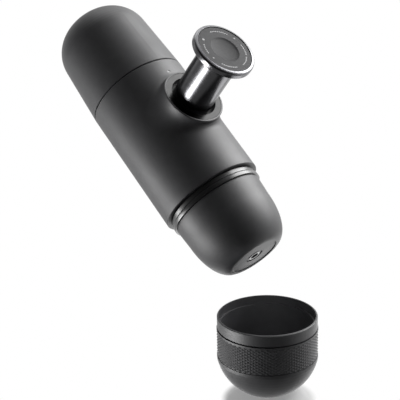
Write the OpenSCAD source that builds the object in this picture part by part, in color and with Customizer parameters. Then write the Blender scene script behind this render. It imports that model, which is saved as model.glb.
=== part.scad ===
// Handheld manual espresso maker, held over its own cup as when it brews.
// The origin is where the axis of the body crosses the axis of the pump. +X is the level direction
// in which the spout points, +Z is up. The maker is drawn upright, with its tank on top and its pump
// towards +X, and held() then tips it the way the hand holds it.

/* [Body] */
// Diameter of the moulded body
body_d = 60; // [58:0.5:64]
// Wall of the moulded body
body_wall = 2.4; // [2:0.1:2.8]
// Length of the body from the pump axis to the seam under the tank
body_up = 32.1; // [31.5:0.1:36]
// Length of the body from the pump axis to its lip
body_down = 46.5; // [46:0.5:52]
// Round of the body's lip
lip_r = 1.5; // [1:0.1:2]
// How far the spout dips below level
brew_dip = 40.7; // [35:0.1:46]

/* [Collar] */
// Diameter of the collar round the pump
collar_d = 36.2; // [35.8:0.1:38]
// Reach of the collar's rim from the body's axis
collar_reach = 34.3; // [34:0.1:36]
// Round of the collar's rim
rim_r = 0.5; // [0.3:0.1:0.8]
// Straight wall of the collar above its blend
rim_wall = 2; // [1.5:0.1:2.5]
// Width of the blend between collar and body, at the sides
blend_w = 6.3; // [5:0.1:7]
// Width of the blend along the body, towards its ends
blend_end_w = 3.4; // [3:0.1:4]

/* [Pump] */
// Stroke of the pump
stroke = 32.7; // [28:0.1:33]
// Diameter of the chrome barrel
barrel_d = 23; // [22.4:0.1:23.4]
// Wall of the chrome barrel
barrel_wall = 1.2; // [1:0.1:1.4]
// Diameter of the pump's bore
bore_d = 13; // [12:0.1:13.4]
// Wall of the pump's cylinder
cylinder_wall = 1.5; // [1.2:0.1:1.6]
// Diameter of the piston rod
rod_d = 6; // [5:0.1:7]
// Length of the piston head
piston_h = 6; // [5.5:0.1:6.5]
// Thickness of the piston's seal
seal_t = 1.6; // [1.4:0.1:1.8]
// Wire of the return spring
spring_wire = 1.1; // [0.9:0.1:1.2]
// Turns of the return spring
spring_turns = 9; // [7:1:10]
// Wall of the tube that houses the pump
housing_wall = 1.6; // [1.4:0.1:1.8]

/* [Button] */
// Reach of the button's face from the body's axis when the pump is out
button_reach = 72.7; // [72.5:0.1:74]
// Diameter of the button's chrome bezel
button_d = 36; // [35:0.1:37]
// Thickness of the bezel
button_t = 4.4; // [4:0.1:5]
// Width of the bezel's rounded rim round the dial
bezel_rim = 2; // [1.6:0.1:2.4]
// Radius of the flare under the button
flare_r = 4.4; // [3.5:0.1:4.6]
// Depth of the dish in the dial
dish_depth = 1.2; // [0.6:0.1:1.4]
// Radius of the dish in the dial
dish_r = 8.6; // [7:0.1:10]

/* [Lock] */
// Angle that the button turns to lock the pump
lock_turn = 60; // [45:5:75]
// Height of the lugs that lock the pump
lug_h = 1.2; // [1:0.1:1.3]
// Thickness of the lugs and of the ring that they lock behind
lug_t = 2; // [1.6:0.1:2.2]
// Angle that each lug spans
lug_span = 30; // [20:5:40]

/* [Tank] */
// Length of the water tank
tank_h = 53.7; // [50:0.1:56]
// Wall of the water tank
tank_wall = 2.3; // [2:0.1:2.6]
// How much the tank's radius draws in towards its end
tank_draft = 2; // [1:0.1:2.5]
// Round of the tank's end
tank_round = 21; // [18:0.5:22]
// Height of the neck that the tank screws on
neck_h = 9.4; // [8:0.2:11]

/* [Filter] */
// Depth of the coffee basket
basket_h = 17.5; // [16:0.1:17.6]
// Sheet of the coffee basket
basket_sheet = 0.6; // [0.5:0.1:0.8]
// Holes across the floor of the basket, in rings round the middle one
basket_rings = 3; // [2:1:4]
// How far the filter adapter's rim stands in from the body's skin
adapter_step = 2.4; // [2:0.1:2.6]
// Height of the filter adapter's rim
adapter_rim = 2.6; // [2.2:0.1:3]

/* [Outlet head] */
// Distance from the pump axis to the flat end of the outlet head
head_reach = 88.9; // [86:0.1:92]
// How far the outlet head stands in from the body's skin
head_step = 2.7; // [2.5:0.1:3]
// Wall of the outlet head
head_wall = 2.4; // [2:0.1:2.8]
// Diameter of the flat end
flat_d = 29.8; // [28:0.1:32]
// Length of the outlet head's rounded end
dome_h = 24.9; // [22:0.1:27]
// Wall of the outlet head's neck
head_neck_wall = 1.4; // [1.2:0.1:1.6]
// How far the ring above the outlet head stands in from the body's skin
ring_step = 1.7; // [1.4:0.1:2]
// Height of the ring above the outlet head
ring_h = 2.7; // [2.2:0.1:3.2]
// Outer diameter of the nozzle
nozzle_d = 7.5; // [6.5:0.1:8.5]
// Bore of the nozzle
nozzle_bore = 4.4; // [3:0.1:5]

/* [Cup] */
// Diameter of the cup at its grip
cup_d = 56.6; // [55:0.1:59]
// Height of the cup
cup_h = 45.3; // [43:0.1:48]
// Wall of the cup
cup_wall = 2.3; // [2:0.1:2.6]
// How much larger the radius of the cup's bowl is than its grip's
bowl_bulge = 0.7; // [0.4:0.1:1.2]
// Diameter of the cup's flat foot
foot_d = 23.6; // [22:0.2:26]
// Height of the cup's plain rim
cup_rim_h = 6.3; // [5:0.1:8]
// Height of the cup's grip band
grip_h = 17.2; // [15:0.1:18]
// Drop from the origin's level to the cup's rim
cup_drop = 90.1; // [88:0.1:110]
// Distance of the cup's axis from the origin
cup_x = 76.3; // [70:0.1:84]

/* [Fits] */
// Radial gap of a running fit
run_gap = 0.05; // [0.02:0.01:0.1]
// Gap between pieces that screw or lift apart
free_gap = 0.4; // [0.3:0.05:0.5]
// Gap left for a screw thread
thread_gap = 0.8; // [0.7:0.05:1]
// Seam between the body and the tank
seam_gap = 0.3; // [0.2:0.05:0.4]
// Dark groove between the lip and the filter adapter
lip_groove = 0.5; // [0.4:0.05:0.8]

/* [Hidden] */
$fn = 96;
// Length by which a cut runs past the face that it opens
past = 1;

// Radii of the body and the bores in it
body_r = body_d / 2;
chamber_r = body_r - body_wall;
ledge_w = 1.3;
filter_bore_r = chamber_r - ledge_w;

// Collar, the bore through it and the recess for its face ring
collar_r = collar_d / 2;
face_ring_t = 1.1;
face_step = 0.2;
face_ring_r = collar_r - 1.2;
// The flare under the button dips into this bore when the pump is in
face_ring_bore = barrel_d / 2 + 2;
// Depths inside the body from which the collar and the bore through it are drawn
collar_root = 20;
collar_bore_root = 12;
blend_steps = 8;
blend_slices = 72;
// Depth by which the blend's edges dip under the surfaces that it joins
blend_dip = 0.12;

// Small vent plug in line with the pump, between the collar and the seam
vent_r = 0.9;
vent_sink = 0.25;
vent_z = collar_r + blend_end_w + vent_r + 0.4;

// Pump, along its own axis
barrel_r = barrel_d / 2;
barrel_in_r = barrel_r - barrel_wall;
bezel_back = button_reach - button_t;
barrel_plate = 1.6;
barrel_end = 24;
lug_r = barrel_r + lug_h;
bush_back = barrel_end + lug_t;
bush_h = 3;
wiper_h = 1.4;
wiper_lip = 0.6;
housing_in_r = barrel_r + 2.1;
housing_r = housing_in_r + housing_wall;
housing_front = collar_reach - face_step - face_ring_t;
lug_room = 0.8;
housing_wall_x = barrel_end - stroke - lug_room;
housing_back_t = 2.5;
cylinder_in_r = bore_d / 2;
cylinder_r = cylinder_in_r + cylinder_wall;
cylinder_back = -(chamber_r - 3.4);
cylinder_front = barrel_end - 2;
spring_flange_t = 1.5;
spring_mean_r = (cylinder_r + barrel_in_r) / 2;
spring_flange_r = barrel_in_r - free_gap;
spring_gap = 0.1;
spring_sides = 6;
spring_ring_count = 8;
spring_rings = spring_turns * spring_ring_count;
spring_low = cylinder_front + spring_gap + spring_wire / 2;
spring_high = bezel_back - barrel_plate - spring_gap - spring_wire / 2;
// Room behind the piston when the pump is in
piston_room = 5.3;
piston_front = cylinder_back + piston_room + stroke;
piston_gap = 0.3;
rod_r = rod_d / 2;
rod_boss_r = rod_r + 3;
rod_boss_h = 7;
rod_head_r = rod_r + 1.8;
rod_head_t = 1.2;
rod_shoulder_r = rod_r + 1.2;
rod_shoulder_h = 3;

// Block behind the cylinder, and the water's way through it
block_wall = 1.6;
block_back = -(chamber_r - 2.1);
block_half_w = cylinder_r + block_wall;
block_half_h = 14;
port_x = -(chamber_r - 6.3);
port_r = 1.5;
tube_r = 3;
tube_bore_r = 1.8;
socket_depth = 3;
valve_r = 2.6;
valve_t = 1;
valve_hole_r = 0.35;
valve_hole_at = 1.95;
valve_seat = block_half_h - socket_depth - valve_t;

// Deck under the tank, its neck and its seal
deck_t = 3;
deck_top = body_up - 2;
neck_step = 1.4;
neck_r = chamber_r - neck_step;
neck_edge = 0.5;
neck_wall = 2.4;
tank_mouth_r = neck_r + thread_gap;
tank_foot = body_up + seam_gap;
tank_foot_step = 0.05;
tank_top = tank_foot + tank_h;
// Angle at which the round of the tank's end meets its flat
tank_end_angle = 59;

// Deck over the coffee, shower plate and gasket
brew_deck_t = 3.5;
brew_deck_low = -32;
shower_r = filter_bore_r - 1.3;
spread_r = shower_r - 2;
spread_h = 1.2;
shower_t = 1;
// Port through the deck, a little off the tube so that it stays inside the hollow
brew_port_r = 1.4;
brew_port_x = port_x + 0.6;
shower_hole_r = 0.9;
gasket_t = 1.5;
basket_top = brew_deck_low - shower_t - gasket_t;

// Adapter, the head's neck and the basket, nested in one another from the body inwards
adapter_wall = 1.6;
adapter_out_r = filter_bore_r - free_gap;
head_neck_r = adapter_out_r - adapter_wall - thread_gap;
head_neck_in_r = head_neck_r - head_neck_wall;
adapter_in_r = head_neck_in_r - thread_gap - adapter_wall;
basket_out_r = adapter_in_r - free_gap;
basket_r = basket_out_r - basket_sheet;
basket_flange_t = 1;
basket_flange_r = basket_out_r + 3.8;
basket_hole_r = 0.5;
basket_hole_pitch = 5;
adapter_top = basket_top - basket_flange_t;
adapter_web = 2;
adapter_sleeve_lift = 1;
adapter_rim_top = -body_down - lip_groove;
adapter_low = adapter_rim_top - adapter_rim;
adapter_edge = 0.25;
neck_seal_t = 0.7;
head_neck_top = adapter_top - adapter_web - neck_seal_t;

// Outlet head below its ring
head_top = adapter_low - ring_h;
head_r = body_r - head_step;
ring_r = body_r - ring_step;
adapter_r = body_r - adapter_step;
flat_r = flat_d / 2;
dome_top = -head_reach + dome_h;
dome_r = head_r - 0.7;
dome_steps = 12;
flat_rim = 0.7;
flat_step = 0.5;
groove_r = 5.3;
groove_step = 0.9;
screen_t = 1;
screen_top = head_top - 1.9;
screen_ledge = 1.7;
screen_ledge_t = 2;
screen_hole_r = 0.6;
nozzle_r = nozzle_d / 2;
nozzle_bore_r = nozzle_bore / 2;
nozzle_in = 5;
nozzle_lead = 0.4;
nozzle_flange_t = 1.2;

// Cup
cup_r = cup_d / 2;
cup_edge_r = cup_r - 0.3;
cup_lip_edge = 0.4;
cup_groove = 0.8;
cup_groove_depth = 0.9;
cup_step_depth = 5;
cup_step_w = 1;
// Band of the grip between its two lands, sunk by the height of its knurl
grip_low = cup_rim_h + cup_groove;
grip_land = 0.9;
grip_sink = 0.35;
bowl_depth = grip_low + grip_h;
bowl_shoulder = 1;
bowl_r = cup_r + bowl_bulge;
foot_r = foot_d / 2;
bowl_centre = cup_h - sqrt(bowl_r * bowl_r - foot_r * foot_r);

// Button, along the pump's axis
bezel_r = button_d / 2;
bezel_lip = 0.25;
dial_r = bezel_r - bezel_rim;
dial_ledge = 1.2;
dial_t = 2.5;
dial_low = button_reach - dial_t;
dial_sink = 0.4;
dial_edge = 0.2;

// Points of a circular arc about [x, y], from angle a to angle b
function arc(x, y, r, a, b, steps = 8) =
    [for (i = [0:steps]) [x + r * cos(a + (b - a) * i / steps), y + r * sin(a + (b - a) * i / steps)]];

// Points of a quarter ellipse from the widest part at [flat + wide, top] down to [flat, top - tall]
function dome_line(flat, wide, top, tall, steps) =
    [for (i = [0:steps]) [flat + wide * cos(90 * i / steps), top - tall * sin(90 * i / steps)]];

// Tips what is drawn upright into the way that the maker is held
module held() {
    rotate([0, brew_dip - 90, 0]) children();
}

// Lays what is drawn along Z along the pump's axis
module along_pump() {
    rotate([0, 90, 0]) children();
}

// A ring with a bore, between two heights
module ring(inner, outer, low, high) {
    difference() {
        translate([0, 0, low]) cylinder(r = outer, h = high - low);
        translate([0, 0, low - past]) cylinder(r = inner, h = high - low + 2 * past);
    }
}

// A wedge about the Z axis that spans an angle
module wedge(span, reach, low, high) {
    translate([0, 0, low])
        linear_extrude(high - low)
            polygon(concat([[0, 0]], arc(0, 0, reach, -span / 2, span / 2, 4)));
}

// Places copies in rings round the middle, six more in each ring than in the last
module in_rings(rings, pitch) {
    children();
    for (k = [1:rings], i = [0:6 * k - 1])
        rotate([0, 0, 60 * i / k]) translate([k * pitch, 0, 0]) children();
}

// Moulded body

// Reach of a cylinder of radius r along the pump's axis, at a distance s from that axis
function body_height(r, s, phi) = sqrt(r * r - pow(s * sin(phi), 2));

// Distance from the pump's axis at which the blend runs out
function blend_edge(phi) = collar_r + blend_end_w + (blend_w - blend_end_w) * pow(sin(phi), 2);

// One point of the blend: phi goes round the collar and t runs from the collar's wall out to the body
function blend_point(phi, t) =
    let (
        r = body_r - blend_dip,
        s0 = collar_r - blend_dip,
        s1 = blend_edge(phi),
        top = collar_reach - rim_wall,
        low = body_height(r, s1, phi),
        slope = s1 * pow(sin(phi), 2) / low,
        knee = low + slope * (s1 - s0),
        s = (1 - t) * (1 - t) * s0 + 2 * t * (1 - t) * s0 + t * t * s1,
        h = (1 - t) * (1 - t) * top + 2 * t * (1 - t) * knee + t * t * low
    ) [h, s * sin(phi), s * cos(phi)];

// The blend's underside lies within the wall that it stands on
function blend_base(phi, outer) =
    let (s = outer ? blend_edge(phi) : collar_r - 1.5, r = body_r - 1.4)
    [body_height(r, s, phi), s * sin(phi), s * cos(phi)];

module collar_blend() {
    row = blend_steps + 3;
    points = [
        for (i = [0:blend_slices - 1])
            let (phi = 360 * i / blend_slices)
            each concat(
                [blend_base(phi, false)],
                [for (k = [0:blend_steps]) blend_point(phi, k / blend_steps)],
                [blend_base(phi, true)]
            )
    ];
    faces = [
        for (i = [0:blend_slices - 1], k = [0:row - 1])
            let (
                a = i * row + k,
                b = i * row + (k + 1) % row,
                c = ((i + 1) % blend_slices) * row + (k + 1) % row,
                d = ((i + 1) % blend_slices) * row + k
            )
            each [[a, b, c], [a, c, d]]
    ];
    polyhedron(points, faces, convexity = 6);
}

module body_outside() {
    rotate_extrude()
        polygon(concat(
            [[0, -body_down]],
            arc(body_r - lip_r, -body_down + lip_r, lip_r, -90, 0, 6),
            [[body_r, body_up - seam_gap], [body_r - seam_gap, body_up], [0, body_up]]
        ));
    along_pump()
        rotate_extrude()
            polygon(concat(
                [[0, collar_root], [collar_r, collar_root]],
                arc(collar_r - rim_r, collar_reach - rim_r, rim_r, 0, 90, 4),
                [[0, collar_reach]]
            ));
    collar_blend();
}

module body_inside() {
    rotate_extrude()
        polygon([
            [0, -body_down - past], [filter_bore_r, -body_down - past],
            [filter_bore_r, brew_deck_low], [chamber_r, brew_deck_low],
            [chamber_r, body_up + past], [0, body_up + past]
        ]);
    along_pump()
        rotate_extrude()
            polygon([
                [0, collar_bore_root], [housing_r + run_gap, collar_bore_root],
                [housing_r + run_gap, housing_front], [face_ring_r + run_gap, housing_front],
                [face_ring_r + run_gap, collar_reach + past], [0, collar_reach + past]
            ]);
}

module main_body() {
    color("#3a3a3c")
        held()
            difference() {
                body_outside();
                body_inside();
                vent_place() cylinder(r = vent_r + run_gap, h = body_wall, center = true);
            }
}

// Flat ring in the mouth of the collar
module collar_face() {
    color("#5a5a5c")
        held() along_pump()
            ring(face_ring_bore, face_ring_r, housing_front, housing_front + face_ring_t);
}

module vent_place() {
    translate([body_r, 0, vent_z]) rotate([0, 90, 0]) children();
}

module vent_plug() {
    color("#2a2a2c")
        held() vent_place()
            translate([0, 0, -body_wall / 2]) cylinder(r = vent_r, h = body_wall / 2 - vent_sink);
}

// Pump, fixed parts

module block_port(top) {
    mirror([0, 0, top ? 0 : 1])
        translate([port_x, 0, 0]) {
            cylinder(r = port_r, h = block_half_h + past);
            translate([0, 0, valve_seat])
                cylinder(r = tube_r + run_gap, h = block_half_h - valve_seat + past);
        }
}

module pump_housing() {
    color("#4a4a4d")
        held()
            difference() {
                union() {
                    along_pump()
                        translate([0, 0, housing_wall_x - housing_back_t])
                            cylinder(r = housing_r, h = housing_front - housing_wall_x + housing_back_t);
                    translate([block_back, -block_half_w, -block_half_h])
                        cube([
                            housing_wall_x - housing_back_t / 2 - block_back,
                            2 * block_half_w, 2 * block_half_h
                        ]);
                }
                along_pump()
                    rotate_extrude()
                        polygon([
                            [0, cylinder_back], [cylinder_r + run_gap, cylinder_back],
                            [cylinder_r + run_gap, housing_wall_x], [housing_in_r, housing_wall_x],
                            [housing_in_r, housing_front + past], [0, housing_front + past]
                        ]);
                block_port(true);
                block_port(false);
            }
}

module guide_bush() {
    color("#8a8a8c")
        held() along_pump()
            ring(barrel_r + run_gap, housing_in_r - run_gap, bush_back, bush_back + bush_h);
}

module wiper_seal() {
    wiper_low = bush_back + bush_h;
    color("#161616")
        held() along_pump()
            rotate_extrude()
                polygon([
                    [barrel_r + run_gap, wiper_low + wiper_h / 2], [barrel_r + wiper_lip, wiper_low],
                    [housing_in_r - run_gap, wiper_low], [housing_in_r - run_gap, wiper_low + wiper_h],
                    [barrel_r + run_gap, wiper_low + wiper_h]
                ]);
}

// Ring inside the housing that the lugs pass through and then lock behind
module lock_ring() {
    lock_low = barrel_end - stroke + lug_t + piston_gap;
    color("#9a9a9c")
        held() along_pump()
            difference() {
                ring(barrel_r + free_gap, housing_in_r - run_gap, lock_low, lock_low + lug_t);
                for (side = [0, 180])
                    rotate([0, 0, side])
                        intersection() {
                            ring(barrel_r, lug_r + free_gap, lock_low - past, lock_low + lug_t + past);
                            wedge(lug_span + 6, housing_r, lock_low - past, lock_low + lug_t + past);
                        }
            }
}

module pump_cylinder() {
    color("#b8babc")
        held()
            difference() {
                along_pump()
                    rotate_extrude()
                        polygon([
                            [cylinder_in_r, cylinder_back], [cylinder_r, cylinder_back],
                            [cylinder_r, cylinder_front - spring_flange_t],
                            [spring_flange_r, cylinder_front - spring_flange_t],
                            [spring_flange_r, cylinder_front], [cylinder_in_r, cylinder_front]
                        ]);
                translate([port_x, 0, -cylinder_r - past]) cylinder(r = port_r, h = 2 * (cylinder_r + past));
            }
}

// Water's way in and out

module tank_deck() {
    color("#454548")
        held()
            difference() {
                rotate_extrude()
                    polygon([
                        [0, deck_top - deck_t], [chamber_r - run_gap, deck_top - deck_t],
                        [chamber_r - run_gap, deck_top], [neck_r, deck_top],
                        [neck_r, deck_top + neck_h - neck_edge], [neck_r - neck_edge, deck_top + neck_h],
                        [neck_r - neck_wall, deck_top + neck_h], [neck_r - neck_wall, deck_top],
                        [0, deck_top]
                    ]);
                translate([port_x, 0, deck_top - deck_t - past])
                    cylinder(r = tube_bore_r, h = deck_t + 2 * past);
            }
}

module tank_seal() {
    color("#c8c8c4")
        held() ring(neck_r + run_gap, chamber_r - run_gap, deck_top, tank_foot);
}

module inlet_tube() {
    color("#b0b0ae")
        held() translate([port_x, 0, 0])
            ring(tube_bore_r, tube_r, block_half_h - socket_depth, deck_top - deck_t);
}

// Soft disc that lets water through one way only
module valve_disc() {
    difference() {
        cylinder(r = valve_r, h = valve_t);
        for (i = [0:2])
            rotate([0, 0, 120 * i]) translate([valve_hole_at, 0, -past])
                cylinder(r = valve_hole_r, h = valve_t + 2 * past);
    }
}

module inlet_valve() {
    color("#d8d8d2") held() translate([port_x, 0, valve_seat]) valve_disc();
}

module outlet_valve() {
    color("#d8d8d2") held() translate([port_x, 0, -valve_seat - valve_t]) valve_disc();
}

module outlet_tube() {
    color("#b0b0ae")
        held() translate([port_x, 0, 0])
            ring(tube_bore_r, tube_r, brew_deck_low + brew_deck_t, -block_half_h + socket_depth);
}

// Deck over the coffee, with the hollow under it that spreads the water
module brew_deck() {
    color("#454548")
        held()
            difference() {
                translate([0, 0, brew_deck_low]) cylinder(r = chamber_r - run_gap, h = brew_deck_t);
                translate([0, 0, brew_deck_low - past]) cylinder(r = spread_r, h = spread_h + past);
                translate([brew_port_x, 0, brew_deck_low]) cylinder(r = brew_port_r, h = brew_deck_t + past);
            }
}

module shower_plate() {
    color("#c4c6c8")
        held()
            translate([0, 0, brew_deck_low - shower_t])
                difference() {
                    cylinder(r = shower_r, h = shower_t);
                    translate([0, 0, -past])
                        in_rings(2, basket_r / 3) cylinder(r = shower_hole_r, h = shower_t + 2 * past);
                }
}

module brew_gasket() {
    color("#d0d0cc")
        held() ring(adapter_in_r, shower_r, basket_top, basket_top + gasket_t);
}

// Plunger

module piston_rod() {
    rod_low = piston_front + piston_h;
    plate_low = bezel_back - barrel_plate;
    shoulder_top = plate_low - rod_boss_h - spring_gap;
    color("#c9cbcd")
        held() along_pump()
            rotate_extrude()
                polygon([
                    [0, rod_low], [rod_r, rod_low],
                    [rod_r, shoulder_top - rod_shoulder_h], [rod_shoulder_r, shoulder_top - rod_shoulder_h],
                    [rod_shoulder_r, shoulder_top], [rod_r, shoulder_top],
                    [rod_r, bezel_back], [rod_head_r, bezel_back],
                    [rod_head_r, bezel_back + rod_head_t], [0, bezel_back + rod_head_t]
                ]);
}

module piston_head() {
    groove_floor = cylinder_in_r - run_gap - seal_t;
    groove_mid = piston_front + piston_h / 2;
    groove_half = seal_t / 2 + 0.2;
    head_out = cylinder_in_r - piston_gap;
    color("#3c3c3e")
        held() along_pump()
            rotate_extrude()
                polygon([
                    [0, piston_front], [head_out - 0.4, piston_front], [head_out, piston_front + 0.4],
                    [head_out, groove_mid - groove_half], [groove_floor, groove_mid - groove_half],
                    [groove_floor, groove_mid + groove_half], [head_out, groove_mid + groove_half],
                    [head_out, piston_front + piston_h], [0, piston_front + piston_h]
                ]);
}

module piston_seal() {
    color("#161616")
        held() along_pump()
            translate([0, 0, piston_front + piston_h / 2])
                rotate_extrude()
                    translate([cylinder_in_r - run_gap - seal_t / 2, 0]) circle(r = seal_t / 2, $fn = 24);
}

// Points along the middle of the spring's wire, from its seat to the button
function spring_mid(i) =
    let (a = 360 * i / spring_ring_count, rise = (spring_high - spring_low) / spring_rings)
    [spring_mean_r * cos(a), spring_mean_r * sin(a), spring_low + rise * i];
function spring_ring(i) =
    let (a = 360 * i / spring_ring_count, m = spring_mid(i))
    [for (k = [0:spring_sides - 1])
        let (b = 360 * k / spring_sides, w = spring_wire / 2)
        m + w * [cos(b) * cos(a), cos(b) * sin(a), sin(b)]];

// Least gap between points of the wire one turn apart
echo(spring_gap_to_itself = norm(spring_mid(spring_ring_count) - spring_mid(0)) - spring_wire);

module return_spring() {
    points = [for (i = [0:spring_rings]) each spring_ring(i)];
    first_end = [for (k = [0:spring_sides - 1]) k];
    last_end = [for (k = [spring_sides - 1:-1:0]) spring_rings * spring_sides + k];
    sides = [
        for (i = [0:spring_rings - 1], k = [0:spring_sides - 1])
            let (
                a = i * spring_sides + k,
                b = i * spring_sides + (k + 1) % spring_sides
            )
            each [[a, b + spring_sides, b], [a, a + spring_sides, b + spring_sides]]
    ];
    color("#aeb0b2")
        held() along_pump()
            polyhedron(points, concat([first_end], sides, [last_end]), convexity = 12);
}

// Barrel and button, which turn together on the rod

module barrel() {
    plate_low = bezel_back - barrel_plate;
    flange_r = barrel_r + flare_r;
    color("#d4d6d8")
        held() along_pump() {
            rotate_extrude()
                polygon(concat(
                    [[rod_r + run_gap, plate_low - rod_boss_h], [rod_boss_r, plate_low - rod_boss_h],
                     [rod_boss_r, plate_low], [barrel_in_r, plate_low], [barrel_in_r, barrel_end],
                     [barrel_r, barrel_end]],
                    arc(flange_r, bezel_back - 0.6 - flare_r, flare_r, 180, 90, 8),
                    [[flange_r, bezel_back], [rod_r + run_gap, bezel_back]]
                ));
            for (side = [0, 180])
                rotate([0, 0, side])
                    intersection() {
                        ring(barrel_r - barrel_wall / 2, lug_r, barrel_end, barrel_end + lug_t);
                        wedge(lug_span, housing_r, barrel_end, barrel_end + lug_t);
                    }
        }
}

// Bezel with a rounded edge and an inner ledge for the dial
module button_bezel() {
    edge_r = button_t / 2;
    // The round ends at a small lip over the dial
    lip_angle = acos((edge_r - bezel_rim + bezel_lip) / edge_r);
    lip_top = bezel_back + edge_r + edge_r * sin(lip_angle);
    color("#dcdee0")
        held() along_pump()
            rotate_extrude()
                polygon(concat(
                    [[dial_r - dial_ledge, bezel_back], [bezel_r - edge_r, bezel_back]],
                    arc(bezel_r - edge_r, bezel_back + edge_r, edge_r, -75, lip_angle, 10),
                    [[dial_r + run_gap, lip_top - bezel_lip],
                     [dial_r + run_gap, dial_low], [dial_r - dial_ledge, dial_low]]
                ));
}

module dial_insert() {
    face = button_reach - dial_sink;
    color("#4c4c4e")
        held() along_pump()
            rotate_extrude()
                polygon(concat(
                    [[0, dial_low], [dial_r, dial_low],
                     [dial_r, face - dial_edge], [dial_r - dial_edge, face]],
                    [for (i = [0:8]) [dish_r * (1 - i / 8), face - dish_depth * (1 - cos(180 * i / 8)) / 2]]
                ));
}

// Water tank

module water_tank() {
    // The straight wall draws in evenly, and the end's arc sets off at the wall's own slope
    wall_h = tank_h - tank_round * sin(tank_end_angle);
    slope = atan(tank_draft / wall_h);
    out_r = body_r - tank_draft;
    arc_z = tank_foot + wall_h;
    color("#3a3a3c")
        held()
            difference() {
                rotate_extrude()
                    polygon(concat(
                        [[0, tank_foot], [body_r - seam_gap, tank_foot],
                         [body_r - tank_foot_step, tank_foot + seam_gap]],
                        arc(out_r - tank_round, arc_z, tank_round, slope, tank_end_angle, 10),
                        [[0, tank_top]]
                    ));
                rotate_extrude()
                    polygon(concat(
                        [[0, tank_foot - past], [tank_mouth_r, tank_foot - past],
                         [tank_mouth_r, tank_foot + neck_h]],
                        arc(out_r - tank_round, arc_z, tank_round - tank_wall, slope, tank_end_angle - 4, 8),
                        [[0, tank_top - tank_wall]]
                    ));
            }
}
// Filter

module filter_adapter() {
    in_out = adapter_in_r + adapter_wall;
    out_in = adapter_out_r - adapter_wall;
    rim = adapter_r;
    web_low = adapter_top - adapter_web;
    color("#2e2e30")
        held()
            rotate_extrude()
                polygon([
                    [adapter_in_r, adapter_top], [adapter_out_r, adapter_top],
                    [adapter_out_r, adapter_rim_top], [rim - adapter_edge, adapter_rim_top],
                    [rim, adapter_rim_top - adapter_edge], [rim, adapter_low + adapter_edge],
                    [rim - adapter_edge, adapter_low], [out_in, adapter_low],
                    [out_in, web_low], [in_out, web_low],
                    [in_out, adapter_low + adapter_sleeve_lift],
                    [adapter_in_r, adapter_low + adapter_sleeve_lift]
                ]);
}

module filter_basket() {
    color("#b4b6b8")
        held()
            difference() {
                rotate_extrude()
                    polygon([
                        [0, basket_top - basket_h], [basket_out_r, basket_top - basket_h],
                        [basket_out_r, adapter_top], [basket_flange_r, adapter_top],
                        [basket_flange_r, basket_top], [basket_r, basket_top],
                        [basket_r, basket_top - basket_h + basket_sheet],
                        [0, basket_top - basket_h + basket_sheet]
                    ]);
                translate([0, 0, basket_top - basket_h - past])
                    in_rings(basket_rings, basket_hole_pitch)
                        cylinder(r = basket_hole_r, h = basket_sheet + 2 * past, $fn = 24);
            }
}

module neck_seal() {
    color("#d0d0cc")
        held()
            ring(
                adapter_in_r + adapter_wall + run_gap, adapter_out_r - adapter_wall - run_gap,
                head_neck_top, adapter_top - adapter_web
            );
}

// Outlet head

module outlet_head() {
    inner_r = head_neck_in_r;
    screen_low = screen_top - screen_t;
    ledge_r = inner_r - screen_ledge;
    hollow_top = screen_low - screen_ledge_t;
    floor_z = -head_reach + flat_step + head_wall;
    color("#3a3a3c")
        held()
            difference() {
                rotate_extrude()
                    polygon(concat(
                        [[0, head_neck_top], [head_neck_r, head_neck_top], [head_neck_r, head_top],
                         [head_r - adapter_edge, head_top], [head_r, head_top - adapter_edge]],
                        dome_line(flat_r, dome_r - flat_r, dome_top, dome_h, dome_steps),
                        [[flat_r - flat_rim, -head_reach], [flat_r - flat_rim, -head_reach + flat_step],
                         [groove_r, -head_reach + flat_step], [groove_r, -head_reach + groove_step],
                         [0, -head_reach + groove_step]]
                    ));
                rotate_extrude()
                    polygon(concat(
                        [[0, head_neck_top + past], [inner_r, head_neck_top + past], [inner_r, screen_low],
                         [ledge_r, screen_low], [ledge_r, hollow_top]],
                        dome_line(
                            flat_r - head_wall, dome_r - flat_r, min(dome_top, hollow_top - 1),
                            min(dome_top, hollow_top - 1) - floor_z, dome_steps
                        ),
                        [[0, floor_z]]
                    ));
                translate([0, 0, -head_reach - past])
                    cylinder(r = nozzle_r + run_gap, h = 2 * head_wall + 2 * past);
            }
}

module head_ring() {
    rim = ring_r;
    color("#343436")
        held()
            rotate_extrude()
                polygon([
                    [head_neck_r + run_gap, head_top], [rim - adapter_edge, head_top],
                    [rim, head_top + adapter_edge], [rim, adapter_low - adapter_edge],
                    [rim - adapter_edge, adapter_low], [head_neck_r + run_gap, adapter_low]
                ]);
}

module outlet_screen() {
    color("#b4b6b8")
        held()
            difference() {
                translate([0, 0, screen_top - screen_t]) cylinder(r = head_neck_in_r - run_gap, h = screen_t);
                translate([0, 0, screen_top - screen_t - past])
                    in_rings(3, basket_hole_pitch)
                        cylinder(r = screen_hole_r, h = screen_t + 2 * past, $fn = 24);
            }
}

module spout_nozzle() {
    floor_z = -head_reach + flat_step + head_wall;
    tip = -head_reach + flat_step;
    color("#29292b")
        held()
            rotate_extrude()
                polygon([
                    [nozzle_bore_r + nozzle_lead, tip], [nozzle_r - 0.3, tip], [nozzle_r, tip + 0.3],
                    [nozzle_r, floor_z], [nozzle_r + 2, floor_z], [nozzle_r + 2, floor_z + nozzle_flange_t],
                    [nozzle_r, floor_z + nozzle_flange_t], [nozzle_r, floor_z + nozzle_in],
                    [nozzle_bore_r, floor_z + nozzle_in], [nozzle_bore_r, tip + nozzle_lead]
                ]);
}

// Cup, which is also the cap of the outlet head

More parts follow.
